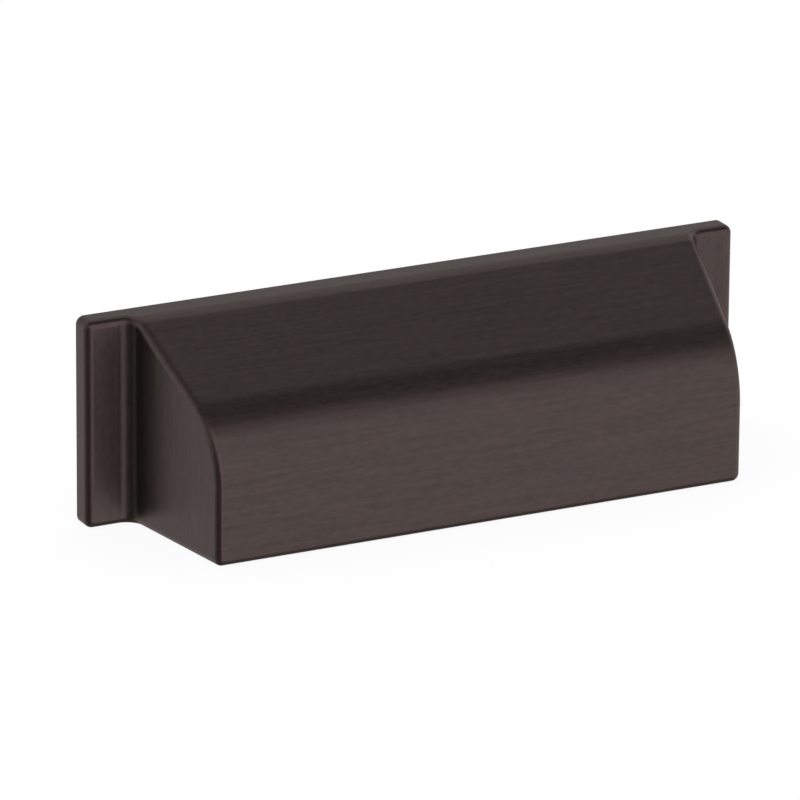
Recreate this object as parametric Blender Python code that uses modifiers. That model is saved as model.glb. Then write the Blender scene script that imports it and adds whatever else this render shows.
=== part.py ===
"""Cup pull for a drawer: one die-cast piece, a flanged plate with a hollow hood.

Frame: origin on the mounting plane, midway between the two screw holes.
+X runs along the pull, +Y goes into the drawer front, +Z is up, and the hood reaches out to -Y.
Sizes are in metres. In the functions, "reach" is a distance in front of the mounting plane,
so that y = -reach, and "inset" is how far a surface lies inside the outer one.
"""

import math

import bmesh
import bpy
from mathutils import Vector

MM = 0.001

# Plate and hood, outside
LENGTH = 127.0 * MM
HEIGHT = 38.0 * MM
PLATE_THICKNESS = 4.2 * MM
PROJECTION = 31.0 * MM
HOOD_WIDTH = 109.8 * MM
DRAFT = math.radians(8.2)
SLOPE = math.radians(30.0)
CREST_RADIUS = 5.6 * MM
KNEE_RADIUS = 16.0 * MM
EDGE_RADIUS = 1.5 * MM
ROOT_RADIUS = 2.6 * MM

# Finger hollow
WALL = 2.8 * MM
HOLLOW_EDGE_RADIUS = 1.2 * MM
LIP_RADIUS = 0.6 * MM

# Screw posts, each a round boss with a web to the side wall, and their tapped bores
SCREW_SPACING = 96.0 * MM
POST_DIAMETER = 9.0 * MM
POST_LENGTH = 14.0 * MM
POST_EDGE = 0.6 * MM
BORE_DIAMETER = 3.5 * MM
BORE_DEPTH = 11.0 * MM
BORE_MOUTH = 0.5 * MM
DRILL_TIP = math.radians(31.0)

# How far a cutter runs past the face that it cuts
OVERRUN = 1.0 * MM
# Sections of the hood that would be closer than this become one
STATION_GAP = 0.15 * MM
MERGE = 0.001 * MM

EDGE_STEPS = 5
ROOT_STEPS = 8
CREST_STEPS = 4
KNEE_STEPS = 14
LIP_STEPS = 3
POST_STEPS = 16
POST_EDGE_STEPS = 3
BORE_STEPS = 32

SMOOTH_BELOW = math.radians(35.0)
FINISH_COLOUR = (0.078, 0.060, 0.058, 1.0)
FINISH_ROUGHNESS = 0.42
FINISH_METALLIC = 0.85

FRONT = Vector((0.0, -1.0, 0.0))


def clear_scene():
    for old in list(bpy.data.objects):
        bpy.data.objects.remove(old, do_unlink=True)


def new_collection(name):
    made = bpy.data.collections.new(name)
    bpy.context.scene.collection.children.link(made)
    return made


def finish_material():
    material = bpy.data.materials.new("dark_bronze")
    material.use_nodes = True
    shader = material.node_tree.nodes["Principled BSDF"]
    shader.inputs["Base Color"].default_value = FINISH_COLOUR
    shader.inputs["Roughness"].default_value = FINISH_ROUGHNESS
    shader.inputs["Metallic"].default_value = FINISH_METALLIC
    return material


def add_object(name, shape, into):
    """Object from a bmesh, with its faces pointing out."""
    bmesh.ops.recalc_face_normals(shape, faces=shape.faces)
    mesh = bpy.data.meshes.new(name)
    shape.to_mesh(mesh)
    shape.free()
    made = bpy.data.objects.new(name, mesh)
    into.objects.link(made)
    return made


def add_cutter(name, shape, into):
    made = add_object(name, shape, into)
    made.hide_render = True
    made.display_type = "WIRE"
    return made


# Directions and places on the outside


def wall_direction(turn):
    """Level unit vector, turned from +X (0) to the front (a right angle)."""
    return Vector((math.cos(turn), -math.sin(turn), 0.0))


def top_direction(tilt):
    """Unit vector across X, tipped from up (0) to the front (a right angle) and on to down."""
    return Vector((0.0, -math.sin(tilt), math.cos(tilt)))


def half_width(reach, inset):
    """Half the width between the hood's drafted side walls."""
    return HOOD_WIDTH / 2 - (reach - PLATE_THICKNESS) * math.tan(DRAFT) - inset / math.cos(DRAFT)


def crest_place(tilt, inset):
    """Reach and height on the crest arc, which is level above the plate's front face."""
    radius = CREST_RADIUS - inset
    return PLATE_THICKNESS + radius * math.sin(tilt), HEIGHT / 2 - CREST_RADIUS + radius * math.cos(tilt)


def top_place(reach, inset):
    """Height and tilt of the hood's top at a reach short of the knee: level, crest or slope."""
    crest_reach, crest_z = crest_place(SLOPE, inset)
    if reach >= crest_reach:
        return crest_z - (reach - crest_reach) * math.tan(SLOPE), SLOPE
    tilt = math.asin(max(reach - PLATE_THICKNESS, 0.0) / (CREST_RADIUS - inset))
    return crest_place(tilt, inset)[1], tilt


def knee_centre():
    """Reach and height of the centre of the knee arc, which touches the slope and the front."""
    crest_reach, crest_z = crest_place(SLOPE, 0.0)
    reach = PROJECTION - KNEE_RADIUS
    on_slope = crest_z - (reach - crest_reach) * math.tan(SLOPE)
    return reach, on_slope - KNEE_RADIUS / math.cos(SLOPE)


def hood_profile(from_reach, inset):
    """Crest, slope, knee and upright front beyond from_reach, as (reach, height, tilt)."""
    places = []
    for step in range(CREST_STEPS + 1):
        tilt = SLOPE * step / CREST_STEPS
        places.append((*crest_place(tilt, inset), tilt))
    centre_reach, centre_z = knee_centre()
    radius = KNEE_RADIUS - inset
    for step in range(KNEE_STEPS + 1):
        tilt = SLOPE + (math.pi / 2 - SLOPE) * step / KNEE_STEPS
        places.append((centre_reach + radius * math.sin(tilt), centre_z + radius * math.cos(tilt), tilt))
    return [place for place in places if place[0] > from_reach + STATION_GAP]


# Lofts through sections


def turned_between(start, end):
    """Unit vectors from start to end, turned evenly across a rounded edge."""
    whole = start.angle(end)
    vectors = []
    for step in range(EDGE_STEPS + 1):
        part = whole * step / EDGE_STEPS
        vectors.append((start * math.sin(whole - part) + end * math.sin(part)) / math.sin(whole))
    return vectors


def section(x, reach, top_z, tilt, turn, feet):
    """Closed section over the top, down the +X wall, under and up the -X wall.

    x, reach and top_z are on the centre line of the rounded top edge, whose arc turns from the
    top's normal to the wall's. feet are the wall's points from there down, each given as its
    distance out from the centre line and its height. The first distance is the arc's radius."""
    wall = wall_direction(turn)
    centre = Vector((x, -reach, top_z))
    half = [centre + direction * feet[0][0] for direction in turned_between(top_direction(tilt), wall)]
    for out, height in feet:
        half.append(Vector((x, -reach, height)) + wall * out)
    return mirrored(half)


def front_foot_sections(x, reach, feet):
    """Sections that take the front wall's foot and its two corners down, level by level."""
    wall = wall_direction(DRAFT)
    sections = []
    for level, (out, height) in enumerate(feet):
        half = [Vector((x, -reach, height)) + direction * out for direction in turned_between(FRONT, wall)]
        for step in range(len(feet)):
            low_out, low_height = feet[max(step, level)]
            half.append(Vector((x, -reach, low_height)) + wall * low_out)
        sections.append(mirrored(half))
    return sections


def mirrored(half):
    """Closed ring from the points of its +X half."""
    return half + [Vector((-point.x, point.y, point.z)) for point in reversed(half)]


def hood_sections(from_reach, inset, feet):
    """Sections of the hood from from_reach to the front, then down round the front wall's foot."""
    sections = []
    for reach, top_z, tilt in hood_profile(from_reach, inset):
        sections.append(section(half_width(reach, inset), reach, top_z, tilt, DRAFT, feet))
    reach = PROJECTION - inset
    return sections + front_foot_sections(half_width(reach, inset), reach, feet)


def lofted(sections):
    """Closed bmesh skin through the sections. Points that meet, as at a corner, are merged."""
    shape = bmesh.new()
    rings = [[shape.verts.new(point) for point in points] for points in sections]
    for near, far in zip(rings, rings[1:]):
        for i in range(len(near)):
            shape.faces.new((near[i - 1], near[i], far[i], far[i - 1]))
    shape.faces.new(rings[0])
    shape.faces.new(rings[-1])
    bmesh.ops.remove_doubles(shape, verts=shape.verts, dist=MERGE)
    bmesh.ops.dissolve_degenerate(shape, edges=shape.edges, dist=MERGE)
    return shape


def pull_skin():
    """Outside of the whole pull: plate, flanges, root fillets and hood, with every edge rounded
    except those of the back face."""
    radius = EDGE_RADIUS
    top_z = HEIGHT / 2 - radius
    feet = []
    for step in range(EDGE_STEPS + 1):
        down = math.pi / 2 * step / EDGE_STEPS
        feet.append((radius * math.cos(down), -top_z - radius * math.sin(down)))
    side = LENGTH / 2 - radius
    sections = [section(side, 0.0, top_z, 0.0, 0.0, feet)]
    for step in range(EDGE_STEPS + 1):
        turn = math.pi / 2 * step / EDGE_STEPS
        sections.append(section(side, PLATE_THICKNESS - radius, top_z, 0.0, turn, feet))
    centre_reach = PLATE_THICKNESS + ROOT_RADIUS
    centre_x = half_width(centre_reach, -ROOT_RADIUS)
    spread = ROOT_RADIUS + radius
    for step in range(ROOT_STEPS + 1):
        turn = math.pi / 2 + (DRAFT - math.pi / 2) * step / ROOT_STEPS
        reach = centre_reach - spread * math.sin(turn)
        edge_z, tilt = top_place(reach, radius)
        sections.append(section(centre_x - spread * math.cos(turn), reach, edge_z, tilt, turn, feet))
    return sections + hood_sections(reach, radius, feet)


def hollow_skin():
    """Space inside the hood, an even wall inside its outside, open at the back and below, where
    its foot flares to round the rim's inner edge."""
    radius = HOLLOW_EDGE_RADIUS
    inset = WALL + radius
    rim = -HEIGHT / 2
    feet = []
    for step in range(LIP_STEPS + 1):
        flare = math.pi / 2 * step / LIP_STEPS
        feet.append((radius + LIP_RADIUS * (1 - math.cos(flare)), rim + LIP_RADIUS * (1 - math.sin(flare))))
    feet.append((radius + LIP_RADIUS, rim - OVERRUN))
    sections = []
    for reach in (-OVERRUN, PLATE_THICKNESS):
        sections.append(section(half_width(reach, inset), reach, HEIGHT / 2 - inset, 0.0, DRAFT, feet))
    return sections + hood_sections(PLATE_THICKNESS, inset, feet)


def post_shape(side):
    """Round boss with a web that ends inside the hood's side wall, run past the back plane."""
    radius = POST_DIAMETER / 2
    middle = SCREW_SPACING / 2
    outline = []
    for step in range(POST_STEPS + 1):
        turn = math.pi / 2 + math.pi * step / POST_STEPS
        outline.append((middle + radius * math.cos(turn), radius * math.sin(turn)))
    outline += [(None, -radius), (None, radius)]
    shape = bmesh.new()
    ends = []
    for reach in (-2 * OVERRUN, POST_LENGTH):
        buried = half_width(reach, WALL / 2)
        ring = [shape.verts.new((side * (buried if x is None else x), -reach, z)) for x, z in outline]
        ends.append(ring)
        shape.faces.new(ring)
    for i in range(len(outline)):
        shape.faces.new((ends[0][i - 1], ends[0][i], ends[1][i], ends[1][i - 1]))
    tip_edges = [edge for edge in shape.edges if all(vert in ends[1] for vert in edge.verts)]
    bmesh.ops.bevel(
        shape,
        geom=tip_edges,
        offset=POST_EDGE,
        offset_type="OFFSET",
        segments=POST_EDGE_STEPS,
        profile=0.5,
        affect="EDGES",
    )
    return shape


def bore_cutter(name, x, into):
    """Blind screw bore with a chamfered mouth and a drill's conical end, turned about its axis."""
    radius = BORE_DIAMETER / 2
    mouth = radius + BORE_MOUTH
    outline = [
        (0.0, OVERRUN),
        (mouth, OVERRUN),
        (mouth, 0.0),
        (radius, -BORE_MOUTH),
        (radius, -BORE_DEPTH),
        (0.0, -BORE_DEPTH - radius * math.tan(DRILL_TIP)),
    ]
    mesh = bpy.data.meshes.new(name)
    edges = [(i, i + 1) for i in range(len(outline) - 1)]
    mesh.from_pydata([(across, 0.0, along) for across, along in outline], edges, [])
    cutter = bpy.data.objects.new(name, mesh)
    into.objects.link(cutter)
    turn = cutter.modifiers.new("Turn", "SCREW")
    turn.steps = BORE_STEPS
    turn.render_steps = BORE_STEPS
    turn.use_merge_vertices = True
    turn.merge_threshold = MERGE
    cutter.location.x = x
    cutter.rotation_euler.x = -math.pi / 2
    cutter.hide_render = True
    cutter.display_type = "WIRE"
    return cutter


def cut_away(body, cutter):
    boolean = body.modifiers.new(cutter.name, "BOOLEAN")
    boolean.operation = "DIFFERENCE"
    boolean.object = cutter
    boolean.solver = "EXACT"


def settle(body):
    """Take the body's modifiers into its mesh, then shade its rounded edges smooth."""
    bpy.context.view_layer.update()
    evaluated = body.evaluated_get(bpy.context.evaluated_depsgraph_get())
    mesh = bpy.data.meshes.new_from_object(evaluated)
    body.modifiers.clear()
    body.data = mesh
    mesh.shade_smooth()
    mesh.set_sharp_from_angle(angle=SMOOTH_BELOW)


def build_pull():
    parts = new_collection("cup_pull")
    cutters = new_collection("cutters")
    pull = add_object("cup_pull", lofted(pull_skin()), parts)
    hollow = add_cutter("hollow", lofted(hollow_skin()), cutters)
    cut_away(pull, hollow)
    for side, label in ((-1, "left"), (1, "right")):
        cut_away(hollow, add_cutter(f"post_{label}", post_shape(side), cutters))
        cut_away(pull, bore_cutter(f"bore_{label}", side * SCREW_SPACING / 2, cutters))
    pull.data.materials.append(finish_material())
    settle(pull)


clear_scene()
build_pull()
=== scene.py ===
"""Looks of the cup pull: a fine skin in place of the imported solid, its brushed dark bronze finish,
and the studio it stands in.

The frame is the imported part's: metres, +X along the pull, +Y into the drawer front, +Z up, origin
on the mounting plane midway between the screw bores. "Reach" is a distance in front of that plane,
so that y = -reach, and "inset" is how far a surface lies inside the outer one.
"""

import math

import bmesh
import bpy
from mathutils import Matrix, Vector


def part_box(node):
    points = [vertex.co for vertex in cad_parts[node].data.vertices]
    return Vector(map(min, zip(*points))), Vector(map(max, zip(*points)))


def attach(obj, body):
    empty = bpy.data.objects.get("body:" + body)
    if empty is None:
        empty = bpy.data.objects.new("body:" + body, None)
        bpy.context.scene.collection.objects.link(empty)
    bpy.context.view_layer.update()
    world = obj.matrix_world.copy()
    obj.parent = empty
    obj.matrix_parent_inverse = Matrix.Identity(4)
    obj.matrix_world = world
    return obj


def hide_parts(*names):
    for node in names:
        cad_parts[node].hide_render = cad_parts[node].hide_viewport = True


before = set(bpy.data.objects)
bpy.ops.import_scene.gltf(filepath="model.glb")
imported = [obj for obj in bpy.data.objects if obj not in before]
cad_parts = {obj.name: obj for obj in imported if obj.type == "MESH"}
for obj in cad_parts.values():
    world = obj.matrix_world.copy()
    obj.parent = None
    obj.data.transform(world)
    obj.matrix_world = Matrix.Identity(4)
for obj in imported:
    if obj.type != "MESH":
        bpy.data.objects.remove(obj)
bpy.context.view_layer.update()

MM = 0.001

# Sizes of the pull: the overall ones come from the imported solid
pull_low, pull_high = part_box("cup_pull")
LENGTH = pull_high.x - pull_low.x
HEIGHT = pull_high.z - pull_low.z
PROJECTION = -pull_low.y
PLATE_THICKNESS = 4.2 * MM
HOOD_WIDTH = 109.8 * MM
DRAFT = math.radians(8.2)
SLOPE = math.radians(30.0)
CREST_RADIUS = 5.6 * MM
KNEE_RADIUS = 16.0 * MM
EDGE_RADIUS = 1.5 * MM
ROOT_RADIUS = 2.6 * MM
WALL = 2.8 * MM
HOLLOW_EDGE_RADIUS = 1.2 * MM
LIP_RADIUS = 0.6 * MM
SCREW_SPACING = 96.0 * MM
POST_DIAMETER = 9.0 * MM
POST_LENGTH = 14.0 * MM
POST_EDGE = 0.6 * MM

# Tapped bore, with a fine-pitch machine thread
BORE_DIAMETER = 3.5 * MM
BORE_DEPTH = 11.0 * MM
BORE_MOUTH = 0.5 * MM
DRILL_TIP = math.radians(31.0)
THREAD_MAJOR = 4.17 * MM
THREAD_PITCH = 0.794 * MM
THREAD_LENGTH = 9.0 * MM
THREAD_RUNOUT = 0.8 * MM
THREAD_FLANK = math.radians(30.0)

OVERRUN = 1.0 * MM
STATION_GAP = 0.05 * MM
MERGE = 0.0005 * MM
EDGE_STEPS = 12
ROOT_STEPS = 20
CREST_STEPS = 12
KNEE_STEPS = 48
LIP_STEPS = 5
POST_STEPS = 40
POST_EDGE_STEPS = 5
BORE_STEPS = 48
LEVELS_A_PITCH = 8

# Angles between facets: above the first an edge is a rounded one, above the second a sharp one
ROUNDED_ABOVE = math.radians(5.0)
SHARP_ABOVE = math.radians(35.0)

# Material slots of the piece, and how squarely a face points where its slot is told by that
ALONG = 0
UPRIGHT = 1
CAST = 2
SQUARELY_BACK = 0.9
MOSTLY = 0.5

FRONT = Vector((0.0, -1.0, 0.0))
BACK = Vector((0.0, 1.0, 0.0))
X_AXIS = Vector((1.0, 0.0, 0.0))
Z_AXIS = Vector((0.0, 0.0, 1.0))

# Finish: base colours, tint of the gloss at grazing angles, and gloss
BRONZE = (0.0812, 0.0625, 0.0597, 1.0)
WARM_BRONZE = (0.0865, 0.0615, 0.0579, 1.0)
EDGE_BRONZE = (0.0925, 0.0650, 0.0615, 1.0)
GRAZING_TINT = (0.82, 0.75, 0.76, 1.0)
METALLIC = 0.92
ALONG_ROUGHNESS = 0.28
UPRIGHT_ROUGHNESS = 0.32
CAST_ROUGHNESS = 0.45
ANISOTROPY = 0.6

# Brush lines: how often their noise changes along and across them, in cycles a metre, its detail,
# the spans of it that are used, what the lines change, and their bump's strength and depth
LONG_LINES = (60.0, 1300.0)
SHORT_LINES = (500.0, 1200.0)
WARM_LINES = (250.0, 1100.0)
LINE_DETAIL = 2.0
LINE_SPAN = (0.6, 1.4)
WARM_SPAN = (0.35, 0.75)
LINE_CONTRAST = 0.15
LINE_GLOSS = 0.02
LINE_RELIEF = (0.06, 0.01 * MM)

# Cast skin: fine grain and broad clouds, in the same terms
GRAIN = (2500.0, 2500.0, 2500.0)
CLOUDS = (120.0, 120.0, 120.0)
GRAIN_DETAIL = 4.0
CLOUD_DETAIL = 3.0
CLOUD_SHARE = 0.6
CAST_SPAN = (0.5, 1.1)
CAST_LEVELS = (0.82, 1.05)
GRAIN_SPAN = (0.3, 0.7)
GRAIN_ROUGHNESS = (CAST_ROUGHNESS - 0.05, CAST_ROUGHNESS + 0.08)
GRAIN_RELIEF = (0.4, 0.03 * MM)

# Studio
FLOOR_HALF = 6.0
FLOOR_COLOUR = (0.97, 0.97, 0.97, 1.0)
FLOOR_GLOW = 0.93
WHITE = (1.0, 1.0, 1.0, 1.0)
COOL_WHITE = (0.93, 1.0, 0.99, 1.0)

# How the room's light changes from front to back (y of the direction) and upwards (z)
FRONT_TO_BACK = (-0.8, 0.1)
FRONT_LEVEL = 0.96
UPWARD = (-0.35, 0.35)
UPPER_BACK_LOSS = 0.52
BACK_POWER = 1.4


def toward_compass(turn, lift):
    """Unit vector by its angle from +X and its lift above the horizon, in degrees."""
    level = math.cos(math.radians(lift))
    across = math.radians(turn)
    return Vector((level * math.cos(across), level * math.sin(across), math.sin(math.radians(lift))))


# Dark cards: toward, axis, half size along and across the axis, softness and depth
CARDS = [
    (toward_compass(270, 77.5), X_AXIS, 0.95, 0.42, 0.2, 0.85),
    (toward_compass(219, -15), toward_compass(219, 75), 0.77, 0.47, 0.15, 0.90),
    (toward_compass(182, -20), toward_compass(182, 70), 0.35, 0.41, 0.50, 0.65),
    (toward_compass(70, -20), toward_compass(70, 70), 0.36, 0.75, 0.25, 0.19),
    (-Z_AXIS, X_AXIS, 0.70, 0.70, 0.2, 0.72),
]

# Camera, as fitted to the photograph, in the photograph's 800 x 800 frame
PICTURE_SIZE = 800
SENSOR = 36.0
FOCAL_PIXELS = 8063.8
PIXELS_A_METRE = 5666.7
AZIMUTH = math.radians(26.689)
ELEVATION = math.radians(19.386)
ROLL = math.radians(0.475)
ORIGIN_PIXEL = (404.42, 368.84)
CLIP_END = 100.0


# Shape


def wall_direction(turn):
    """Level unit vector, turned from +X (0) to the front (a right angle)."""
    return Vector((math.cos(turn), -math.sin(turn), 0.0))


def top_direction(tilt):
    """Unit vector across X, tipped from up (0) to the front (a right angle) and on to down."""
    return Vector((0.0, -math.sin(tilt), math.cos(tilt)))


def half_width(reach, inset):
    """Half the width between the hood's drafted side walls."""
    return HOOD_WIDTH / 2 - (reach - PLATE_THICKNESS) * math.tan(DRAFT) - inset / math.cos(DRAFT)


def crest_place(tilt, inset):
    """Reach and height on the crest arc, which is level above the plate's front face."""
    radius = CREST_RADIUS - inset
    height = HEIGHT / 2 - CREST_RADIUS + radius * math.cos(tilt)
    return PLATE_THICKNESS + radius * math.sin(tilt), height


def top_place(reach, inset):
    """Height and tilt of the hood's top at a reach short of the knee: level, crest or slope."""
    crest_reach, crest_z = crest_place(SLOPE, inset)
    if reach >= crest_reach:
        return crest_z - (reach - crest_reach) * math.tan(SLOPE), SLOPE
    tilt = math.asin(max(reach - PLATE_THICKNESS, 0.0) / (CREST_RADIUS - inset))
    return crest_place(tilt, inset)[1], tilt


def knee_centre():
    """Reach and height of the centre of the knee arc, which touches the slope and the front."""
    crest_reach, crest_z = crest_place(SLOPE, 0.0)
    reach = PROJECTION - KNEE_RADIUS
    on_slope = crest_z - (reach - crest_reach) * math.tan(SLOPE)
    return reach, on_slope - KNEE_RADIUS / math.cos(SLOPE)


def hood_profile(from_reach, inset):
    """Crest, slope, knee and upright front beyond from_reach, as (reach, height, tilt)."""
    places = []
    for step in range(CREST_STEPS + 1):
        tilt = SLOPE * step / CREST_STEPS
        places.append((*crest_place(tilt, inset), tilt))
    centre_reach, centre_z = knee_centre()
    radius = KNEE_RADIUS - inset
    for step in range(KNEE_STEPS + 1):
        tilt = SLOPE + (math.pi / 2 - SLOPE) * step / KNEE_STEPS
        reach = centre_reach + radius * math.sin(tilt)
        places.append((reach, centre_z + radius * math.cos(tilt), tilt))
    return [place for place in places if place[0] > from_reach + STATION_GAP]


def turned_between(start, end):
    """Unit vectors from start to end, turned evenly across a rounded edge."""
    whole = start.angle(end)
    vectors = []
    for step in range(EDGE_STEPS + 1):
        part = whole * step / EDGE_STEPS
        vectors.append((start * math.sin(whole - part) + end * math.sin(part)) / math.sin(whole))
    return vectors


def mirrored(half):
    """Closed ring from the points of its +X half."""
    return half + [Vector((-point.x, point.y, point.z)) for point in reversed(half)]


def section(x, reach, top_z, tilt, turn, feet):
    """Closed section over the top, down the +X wall, under and up the -X wall.

    x, reach and top_z are on the centre line of the rounded top edge, whose arc turns from the
    top's normal to the wall's. feet are the wall's points from there down, each given as its
    distance out from the centre line and its height. The first distance is the arc's radius."""
    wall = wall_direction(turn)
    centre = Vector((x, -reach, top_z))
    arc = turned_between(top_direction(tilt), wall)
    half = [centre + direction * feet[0][0] for direction in arc]
    for out, height in feet:
        half.append(Vector((x, -reach, height)) + wall * out)
    return mirrored(half)


def front_foot_sections(x, reach, feet):
    """Sections that take the front wall's foot and its two corners down, level by level."""
    wall = wall_direction(DRAFT)
    sections = []
    for level, (out, height) in enumerate(feet):
        arc = turned_between(FRONT, wall)
        half = [Vector((x, -reach, height)) + direction * out for direction in arc]
        for step in range(len(feet)):
            low_out, low_height = feet[max(step, level)]
            half.append(Vector((x, -reach, low_height)) + wall * low_out)
        sections.append(mirrored(half))
    return sections


def hood_sections(from_reach, inset, feet):
    """Sections of the hood from from_reach to the front, then down round the front wall's foot."""
    sections = []
    for reach, top_z, tilt in hood_profile(from_reach, inset):
        sections.append(section(half_width(reach, inset), reach, top_z, tilt, DRAFT, feet))
    reach = PROJECTION - inset
    return sections + front_foot_sections(half_width(reach, inset), reach, feet)


def lofted(sections):
    """Closed bmesh skin through the sections. Points that meet, as at a corner, are merged."""
    shape = bmesh.new()
    rings = [[shape.verts.new(point) for point in points] for points in sections]
    for near, far in zip(rings, rings[1:]):
        for i in range(len(near)):
            shape.faces.new((near[i - 1], near[i], far[i], far[i - 1]))
    shape.faces.new(rings[0])
    shape.faces.new(rings[-1])
    bmesh.ops.remove_doubles(shape, verts=shape.verts, dist=MERGE)
    bmesh.ops.dissolve_degenerate(shape, edges=shape.edges, dist=MERGE)
    return shape


def pull_skin():
    """Outside of the whole pull, with every edge rounded except those of the back face."""
    radius = EDGE_RADIUS
    top_z = HEIGHT / 2 - radius
    feet = []
    for step in range(EDGE_STEPS + 1):
        down = math.pi / 2 * step / EDGE_STEPS
        feet.append((radius * math.cos(down), -top_z - radius * math.sin(down)))
    side = LENGTH / 2 - radius
    sections = [section(side, 0.0, top_z, 0.0, 0.0, feet)]
    for step in range(EDGE_STEPS + 1):
        turn = math.pi / 2 * step / EDGE_STEPS
        sections.append(section(side, PLATE_THICKNESS - radius, top_z, 0.0, turn, feet))
    centre_reach = PLATE_THICKNESS + ROOT_RADIUS
    centre_x = half_width(centre_reach, -ROOT_RADIUS)
    spread = ROOT_RADIUS + radius
    for step in range(ROOT_STEPS + 1):
        turn = math.pi / 2 + (DRAFT - math.pi / 2) * step / ROOT_STEPS
        reach = centre_reach - spread * math.sin(turn)
        edge_z, tilt = top_place(reach, radius)
        sections.append(section(centre_x - spread * math.cos(turn), reach, edge_z, tilt, turn, feet))
    return sections + hood_sections(reach, radius, feet)


def hollow_skin():
    """Space inside the hood, open at the back and below, where its foot flares round the rim."""
    radius = HOLLOW_EDGE_RADIUS
    inset = WALL + radius
    rim = -HEIGHT / 2
    feet = []
    for step in range(LIP_STEPS + 1):
        flare = math.pi / 2 * step / LIP_STEPS
        out = radius + LIP_RADIUS * (1 - math.cos(flare))
        feet.append((out, rim + LIP_RADIUS * (1 - math.sin(flare))))
    feet.append((radius + LIP_RADIUS, rim - OVERRUN))
    sections = []
    for reach in (-OVERRUN, PLATE_THICKNESS):
        roof_z = HEIGHT / 2 - inset
        sections.append(section(half_width(reach, inset), reach, roof_z, 0.0, DRAFT, feet))
    return sections + hood_sections(PLATE_THICKNESS, inset, feet)


def post_shape(side):
    """Round boss with a web that ends inside the hood's side wall, run past the back plane."""
    radius = POST_DIAMETER / 2
    middle = SCREW_SPACING / 2
    outline = []
    for step in range(POST_STEPS + 1):
        turn = math.pi / 2 + math.pi * step / POST_STEPS
        outline.append((middle + radius * math.cos(turn), radius * math.sin(turn)))
    outline += [(None, -radius), (None, radius)]
    shape = bmesh.new()
    ends = []
    for reach in (-2 * OVERRUN, POST_LENGTH):
        buried = half_width(reach, WALL / 2)
        ring = [shape.verts.new((side * (buried if x is None else x), -reach, z)) for x, z in outline]
        ends.append(ring)
        shape.faces.new(ring)
    for i in range(len(outline)):
        shape.faces.new((ends[0][i - 1], ends[0][i], ends[1][i], ends[1][i - 1]))
    tip_edges = [edge for edge in shape.edges if all(vert in ends[1] for vert in edge.verts)]
    bmesh.ops.bevel(
        shape,
        geom=tip_edges,
        offset=POST_EDGE,
        offset_type="OFFSET",
        segments=POST_EDGE_STEPS,
        profile=0.5,
        affect="EDGES",
    )
    return shape


def thread_radius(depth, turn):
    """Radius of the bore's wall at a depth and an angle: the tapped thread, fading out below."""
    minor = BORE_DIAMETER / 2
    height = THREAD_MAJOR / 2 - minor
    phase = (depth / THREAD_PITCH - turn / (2 * math.pi)) % 1.0
    ramp = 1 - abs(2 * phase - 1)
    flank = 2 * height * math.tan(THREAD_FLANK) / THREAD_PITCH
    cut = min(max((ramp - (1 - flank) / 2) / flank, 0.0), 1.0)
    left = min(max((THREAD_LENGTH - depth) / THREAD_RUNOUT, 0.0), 1.0)
    return minor + height * cut * left


def bore_shape(x):
    """Blind tapped bore with a chamfered mouth and a drill's conical end."""
    minor = BORE_DIAMETER / 2
    chamfer = minor + BORE_MOUTH
    levels = [-OVERRUN, 0.0]
    count = round(BORE_DEPTH / THREAD_PITCH * LEVELS_A_PITCH)
    levels += [BORE_DEPTH * (step + 1) / count for step in range(count)]
    shape = bmesh.new()
    rings = []
    for depth in levels:
        ring = []
        for step in range(BORE_STEPS):
            turn = 2 * math.pi * step / BORE_STEPS
            radius = chamfer - max(depth, 0.0)
            if depth > 0.0:
                radius = max(radius, thread_radius(depth, turn))
            ring.append(shape.verts.new((x + radius * math.cos(turn), -depth, radius * math.sin(turn))))
        rings.append(ring)
    shape.faces.new(rings[0])
    for near, far in zip(rings, rings[1:]):
        for i in range(BORE_STEPS):
            shape.faces.new((near[i - 1], near[i], far[i], far[i - 1]))
    tip = shape.verts.new((x, -BORE_DEPTH - minor * math.tan(DRILL_TIP), 0.0))
    for i in range(BORE_STEPS):
        shape.faces.new((rings[-1][i - 1], rings[-1][i], tip))
    return shape


def add_object(name, shape, materials, finish=ALONG):
    """Object from a bmesh, with its faces pointing out and all in one material slot."""
    bmesh.ops.recalc_face_normals(shape, faces=shape.faces)
    for face in shape.faces:
        face.material_index = finish
    mesh = bpy.data.meshes.new(name)
    shape.to_mesh(mesh)
    shape.free()
    for material in materials:
        mesh.materials.append(material)
    made = bpy.data.objects.new(name, mesh)
    bpy.context.scene.collection.objects.link(made)
    return made


def cut_away(body, cutter):
    boolean = body.modifiers.new(cutter.name, "BOOLEAN")
    boolean.operation = "DIFFERENCE"
    boolean.object = cutter
    boolean.solver = "EXACT"


def settle(body):
    """Take the body's modifiers into its mesh."""
    bpy.context.view_layer.update()
    evaluated = body.evaluated_get(bpy.context.evaluated_depsgraph_get())
    mesh = bpy.data.meshes.new_from_object(evaluated)
    body.modifiers.clear()
    body.data = mesh


def cut_into_triangles(body):
    """Cut the many-sided faces that the cuts leave into triangles, so that none folds over."""
    shape = bmesh.new()
    shape.from_mesh(body.data)
    many_sided = [face for face in shape.faces if len(face.verts) > 4]
    bmesh.ops.triangulate(shape, faces=many_sided)
    shape.to_mesh(body.data)
    shape.free()


def brush_direction(face):
    """Which way an outside face was brushed: the flanges and the side walls up and down."""
    if face.normal.dot(BACK) > SQUARELY_BACK:
        return CAST
    on_flange = abs(face.center.x) > half_width(PLATE_THICKNESS, 0.0) + face.normal.z * ROOT_RADIUS
    if abs(face.normal.x) > MOSTLY or (on_flange and face.normal.dot(FRONT) > MOSTLY):
        return UPRIGHT
    return ALONG


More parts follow.
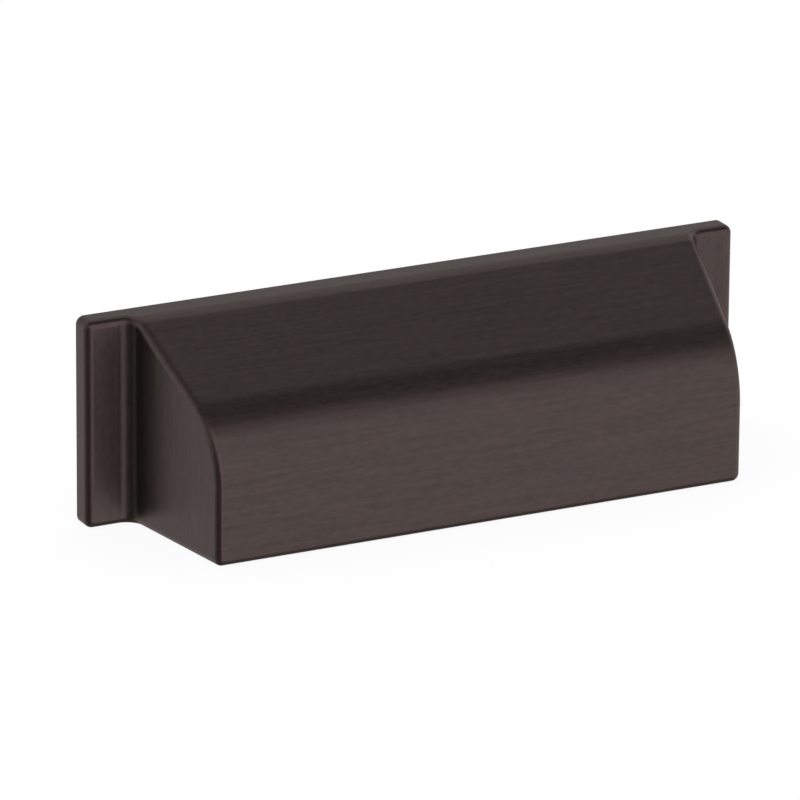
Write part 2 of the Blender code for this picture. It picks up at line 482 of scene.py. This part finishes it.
def mark_edges(body):
    """Write the attribute "edge": 1 on the rounded outer edges, 0 elsewhere.

    It tells them by the angle between facets, which is larger there than on the crest and knee."""
    shape = bmesh.new()
    shape.from_mesh(body.data)
    share = shape.verts.layers.float.new("edge")
    for vert in shape.verts:
        sharpest = max(edge.calc_face_angle_signed(0.0) for edge in vert.link_edges)
        vert[share] = 1.0 if ROUNDED_ABOVE < sharpest < SHARP_ABOVE else 0.0
    shape.to_mesh(body.data)
    shape.free()


def build_pull(materials):
    pull = add_object("cup_pull_skin", lofted(pull_skin()), materials)
    cutters = [add_object("hollow", lofted(hollow_skin()), materials, CAST)]
    for side in (-1, 1):
        post = add_object("post", post_shape(side), materials, CAST)
        cut_away(cutters[0], post)
        bore = add_object("bore", bore_shape(side * SCREW_SPACING / 2), materials, CAST)
        cutters += [bore, post]
    for cutter in cutters:
        if cutter.name.startswith(("hollow", "bore")):
            cut_away(pull, cutter)
    settle(pull)
    cut_into_triangles(pull)
    for cutter in cutters:
        bpy.data.objects.remove(cutter, do_unlink=True)
    for face in pull.data.polygons:
        if face.material_index != CAST:
            face.material_index = brush_direction(face)
    mark_edges(pull)
    pull.data.shade_smooth()
    pull.data.set_sharp_from_angle(angle=SHARP_ABOVE)
    weighted = pull.modifiers.new("Normals", "WEIGHTED_NORMAL")
    weighted.keep_sharp = True
    weighted.weight = 100
    settle(pull)
    return pull


# Materials


def add_node(tree, kind, **settings):
    node = tree.nodes.new(kind)
    for name, value in settings.items():
        setattr(node, name, value)
    return node


def link(tree, source, target):
    tree.links.new(source, target)


def fill(tree, inputs, values):
    """Set each input to its value, or link it where the value is itself a socket."""
    for socket, value in zip(inputs, values):
        if isinstance(value, bpy.types.NodeSocket):
            link(tree, value, socket)
        else:
            socket.default_value = value


def math_node(tree, operation, *values):
    node = add_node(tree, "ShaderNodeMath", operation=operation)
    fill(tree, node.inputs, values)
    return node.outputs["Value"]


def vector_node(tree, operation, *values):
    node = add_node(tree, "ShaderNodeVectorMath", operation=operation)
    fill(tree, node.inputs, values)
    return node.outputs["Vector"]


def dot_node(tree, vector, axis):
    """Component of a vector socket along a unit vector."""
    node = add_node(tree, "ShaderNodeVectorMath", operation="DOT_PRODUCT")
    fill(tree, node.inputs, (vector, axis))
    return node.outputs["Value"]


def map_range(tree, value, span, result, interpolation="LINEAR"):
    """Value socket from the span's two ends to the result's two ends, clamped."""
    node = add_node(tree, "ShaderNodeMapRange", interpolation_type=interpolation)
    names = ("Value", "From Min", "From Max", "To Min", "To Max")
    fill(tree, [node.inputs[name] for name in names], (value, *span, *result))
    return node.outputs["Result"]


def noise(tree, position, scales, detail):
    """Noise over the position, stretched by a scale for each axis, in cycles a metre."""
    place = vector_node(tree, "MULTIPLY", position, scales)
    node = add_node(tree, "ShaderNodeTexNoise", noise_dimensions="3D")
    inputs = [node.inputs[name] for name in ("Vector", "Scale", "Detail")]
    fill(tree, inputs, (place, 1.0, detail))
    return node.outputs["Fac"]


def mixed_colour(tree, factor, *colours):
    """Mix by a socket of two colours, each plain or itself a socket."""
    mix = add_node(tree, "ShaderNodeMix", data_type="RGBA")
    fill(tree, [mix.inputs["Factor"]], [factor])
    fill(tree, [socket for socket in mix.inputs if socket.type == "RGBA"], colours)
    return next(out for out in mix.outputs if out.type == "RGBA")


def bronze_colour(tree, warmth, level):
    """Mix of the bronze tones by a warmth socket, redder on rounded edges, times a level socket."""
    tone = mixed_colour(tree, warmth, BRONZE, WARM_BRONZE)
    edge = add_node(tree, "ShaderNodeAttribute", attribute_name="edge").outputs["Fac"]
    scaled = add_node(tree, "ShaderNodeVectorMath", operation="SCALE")
    link(tree, mixed_colour(tree, edge, tone, EDGE_BRONZE), scaled.inputs[0])
    link(tree, level, scaled.inputs["Scale"])
    return scaled.outputs["Vector"]


def bronze_material(name, roughness):
    material = bpy.data.materials.new(name)
    material.use_nodes = True
    tree = material.node_tree
    shader = tree.nodes["Principled BSDF"]
    shader.inputs["Metallic"].default_value = METALLIC
    shader.inputs["Roughness"].default_value = roughness
    shader.inputs["Specular Tint"].default_value = GRAZING_TINT
    return material, tree, shader


def relief(tree, shader, height, strength_and_depth):
    """Faint bump from a height socket."""
    strength, depth = strength_and_depth
    bump = add_node(tree, "ShaderNodeBump")
    bump.inputs["Strength"].default_value = strength
    bump.inputs["Distance"].default_value = depth
    link(tree, height, bump.inputs["Height"])
    link(tree, bump.outputs["Normal"], shader.inputs["Normal"])


def brushed_material(name, brush, roughness):
    """Dark bronze with fine straight lines along one axis. The gloss spreads across the lines."""
    material, tree, shader = bronze_material(name, roughness)
    shader.inputs["Anisotropic"].default_value = ANISOTROPY
    position = add_node(tree, "ShaderNodeTexCoord").outputs["Object"]
    normal = add_node(tree, "ShaderNodeNewGeometry").outputs["Normal"]
    link(tree, vector_node(tree, "CROSS_PRODUCT", normal, brush), shader.inputs["Tangent"])
    long_lines, short_lines, warm_lines = [
        noise(tree, position, [along if part else across for part in brush], LINE_DETAIL)
        for along, across in (LONG_LINES, SHORT_LINES, WARM_LINES)
    ]
    lines = math_node(tree, "ADD", long_lines, short_lines)
    level = map_range(tree, lines, LINE_SPAN, (1 - LINE_CONTRAST, 1 + LINE_CONTRAST))
    warmth = map_range(tree, warm_lines, WARM_SPAN, (0.0, 1.0))
    link(tree, bronze_colour(tree, warmth, level), shader.inputs["Base Color"])
    rough = map_range(tree, lines, LINE_SPAN, (roughness - LINE_GLOSS, roughness + LINE_GLOSS))
    link(tree, rough, shader.inputs["Roughness"])
    relief(tree, shader, lines, LINE_RELIEF)
    return material


def cast_material(name):
    """The same finish where no brush reaches: inside the hood, on the posts and on the back."""
    material, tree, shader = bronze_material(name, CAST_ROUGHNESS)
    position = add_node(tree, "ShaderNodeTexCoord").outputs["Object"]
    grain = noise(tree, position, GRAIN, GRAIN_DETAIL)
    cloud = noise(tree, position, CLOUDS, CLOUD_DETAIL)
    mixed = math_node(tree, "ADD", math_node(tree, "MULTIPLY", cloud, CLOUD_SHARE), grain)
    level = map_range(tree, mixed, CAST_SPAN, CAST_LEVELS)
    link(tree, bronze_colour(tree, cloud, level), shader.inputs["Base Color"])
    rough = map_range(tree, grain, GRAIN_SPAN, GRAIN_ROUGHNESS)
    link(tree, rough, shader.inputs["Roughness"])
    relief(tree, shader, grain, GRAIN_RELIEF)
    return material


# Studio


def build_floor():
    """Pale floor under the pull. The camera sees it nearly white, with a faint shadow. The metal
    sees past it into the room, which is as white."""
    mesh = bpy.data.meshes.new("floor")
    signs = [(-1, -1), (1, -1), (1, 1), (-1, 1)]
    corners = [(x * FLOOR_HALF, y * FLOOR_HALF, 0.0) for x, y in signs]
    mesh.from_pydata(corners, [], [(0, 1, 2, 3)])
    floor = bpy.data.objects.new("floor", mesh)
    bpy.context.scene.collection.objects.link(floor)
    floor.location.z = pull_low.z
    floor.visible_glossy = False
    material = bpy.data.materials.new("floor")
    material.use_nodes = True
    material.cycles.emission_sampling = "NONE"
    tree = material.node_tree
    tree.nodes.remove(tree.nodes["Principled BSDF"])
    diffuse = add_node(tree, "ShaderNodeBsdfDiffuse")
    diffuse.inputs["Color"].default_value = FLOOR_COLOUR
    glow = add_node(tree, "ShaderNodeEmission")
    mix = add_node(tree, "ShaderNodeMixShader")
    to_camera = add_node(tree, "ShaderNodeLightPath").outputs["Is Camera Ray"]
    link(tree, math_node(tree, "MULTIPLY", to_camera, FLOOR_GLOW), mix.inputs["Fac"])
    link(tree, diffuse.outputs[0], mix.inputs[1])
    link(tree, glow.outputs[0], mix.inputs[2])
    link(tree, mix.outputs[0], tree.nodes["Material Output"].inputs["Surface"])
    mesh.materials.append(material)


def dark_card(tree, direction, toward, axis, half_along, half_across, soft, depth):
    """Factor on the room's white: an oval card in one direction, with a soft edge.

    The half sizes are sines of angles, and depth is the share of white that the card takes."""
    aside = toward.cross(axis)
    along = math_node(tree, "DIVIDE", dot_node(tree, direction, axis), half_along)
    across = math_node(tree, "DIVIDE", dot_node(tree, direction, aside), half_across)
    squares = math_node(tree, "MULTIPLY", along, along)
    squares = math_node(tree, "MULTIPLY_ADD", across, across, squares)
    distance = math_node(tree, "SQRT", squares)
    taken = map_range(tree, distance, (1 - soft, 1 + soft), (depth, 0.0), "SMOOTHSTEP")
    ahead = math_node(tree, "GREATER_THAN", dot_node(tree, direction, toward), 0.0)
    return math_node(tree, "SUBTRACT", 1.0, math_node(tree, "MULTIPLY", taken, ahead))


def room_light(tree, direction, behind):
    """What the metal sees of the room: white, dimmer towards the upper back and a little in front.

    Dark cards in it, overhead, at the left, behind and below, give the knee and the edges their
    dark lines. behind is the direction's component towards the back."""
    backward = math_node(tree, "POWER", math_node(tree, "MAXIMUM", behind, 0.0), BACK_POWER)
    loss = map_range(tree, dot_node(tree, direction, Z_AXIS), UPWARD, (0.0, UPPER_BACK_LOSS))
    light = map_range(tree, behind, FRONT_TO_BACK, (FRONT_LEVEL, 1.0))
    light = math_node(tree, "SUBTRACT", light, math_node(tree, "MULTIPLY", backward, loss))
    for card in CARDS:
        light = math_node(tree, "MULTIPLY", light, dark_card(tree, direction, *card))
    return light


def build_world():
    """White room with what the metal sees in it, where the back is a little cooler."""
    world = bpy.data.worlds.new("studio")
    bpy.context.scene.world = world
    world.use_nodes = True
    world.cycles.sampling_method = "NONE"
    tree = world.node_tree
    background = tree.nodes["Background"]
    direction = add_node(tree, "ShaderNodeTexCoord").outputs["Generated"]
    behind = dot_node(tree, direction, BACK)
    path = add_node(tree, "ShaderNodeLightPath")
    metal_sees = math_node(tree, "MAXIMUM", path.outputs["Is Glossy Ray"],
                           path.outputs["Is Transmission Ray"])
    change = math_node(tree, "SUBTRACT", room_light(tree, direction, behind), 1.0)
    strength = math_node(tree, "MULTIPLY_ADD", change, metal_sees, 1.0)
    link(tree, strength, background.inputs["Strength"])
    coolness = map_range(tree, behind, FRONT_TO_BACK, (0.0, 1.0))
    cool = math_node(tree, "MULTIPLY", coolness, metal_sees)
    link(tree, mixed_colour(tree, cool, WHITE, COOL_WHITE), background.inputs["Color"])


def build_camera():
    """Camera at the photograph's place: the origin falls on its pixel there, with no shift."""
    forward = Vector((
        math.sin(AZIMUTH) * math.cos(ELEVATION),
        math.cos(AZIMUTH) * math.cos(ELEVATION),
        -math.sin(ELEVATION),
    ))
    level = Vector((math.cos(AZIMUTH), -math.sin(AZIMUTH), 0.0))
    upright = level.cross(forward)
    right = level * math.cos(ROLL) + upright * math.sin(ROLL)
    up = upright * math.cos(ROLL) - level * math.sin(ROLL)
    aside = (ORIGIN_PIXEL[0] - PICTURE_SIZE / 2) / PIXELS_A_METRE
    above = (PICTURE_SIZE / 2 - ORIGIN_PIXEL[1]) / PIXELS_A_METRE
    place = -forward * FOCAL_PIXELS / PIXELS_A_METRE - right * aside - up * above
    lens = bpy.data.cameras.new("camera")
    lens.sensor_width = SENSOR
    lens.lens = SENSOR * FOCAL_PIXELS / PICTURE_SIZE
    lens.clip_end = CLIP_END
    camera = bpy.data.objects.new("camera", lens)
    bpy.context.scene.collection.objects.link(camera)
    turned = Matrix((right, up, -forward)).transposed().to_4x4()
    camera.matrix_world = Matrix.Translation(place) @ turned
    bpy.context.scene.camera = camera


def build_scene():
    materials = [
        brushed_material("bronze_brushed_along", X_AXIS, ALONG_ROUGHNESS),
        brushed_material("bronze_brushed_upright", Z_AXIS, UPRIGHT_ROUGHNESS),
        cast_material("bronze_cast"),
    ]
    pull = build_pull(materials)
    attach(pull, "root")
    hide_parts("cup_pull")
    build_floor()
    build_world()
    build_camera()
    bpy.context.scene.view_settings.view_transform = "Standard"


build_scene()
